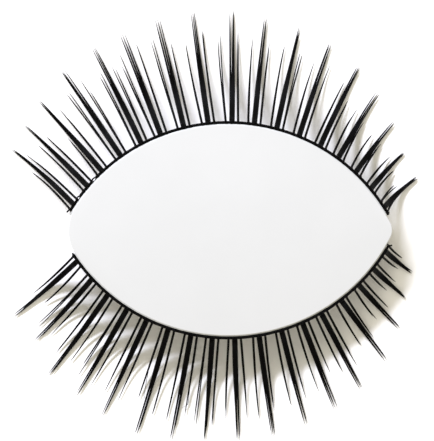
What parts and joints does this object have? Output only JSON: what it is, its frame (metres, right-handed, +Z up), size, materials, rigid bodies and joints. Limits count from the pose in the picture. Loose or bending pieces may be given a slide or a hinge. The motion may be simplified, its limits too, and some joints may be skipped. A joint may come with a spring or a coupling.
{
  "type": "pair of strip false eyelashes on an eye-shaped display card",
  "caption": "Black strip lashes in tapered clusters that drop from the band and level out at the tips, round a flat white eye-shaped card.",
  "frame": {"origin": "centre of the card's flat underside, where the two arcs of its outline are symmetric", "axes": "+X from the card's outer tip to its inner tip, +Y from the lower strip to the upper strip, +Z up out of the card's face"},
  "size_m": [0.0366, 0.039, 0.003],
  "materials": {
    "card": "smooth matte white foamed board with a softened top rim",
    "lash_fibre": "fine black synthetic fibre and thread with a faint sheen"
  },
  "bodies": {
    "root": {"card": "card", "upper_lash_strip": "lash_fibre", "lower_lash_strip": "lash_fibre"}
  },
  "joints": []
}
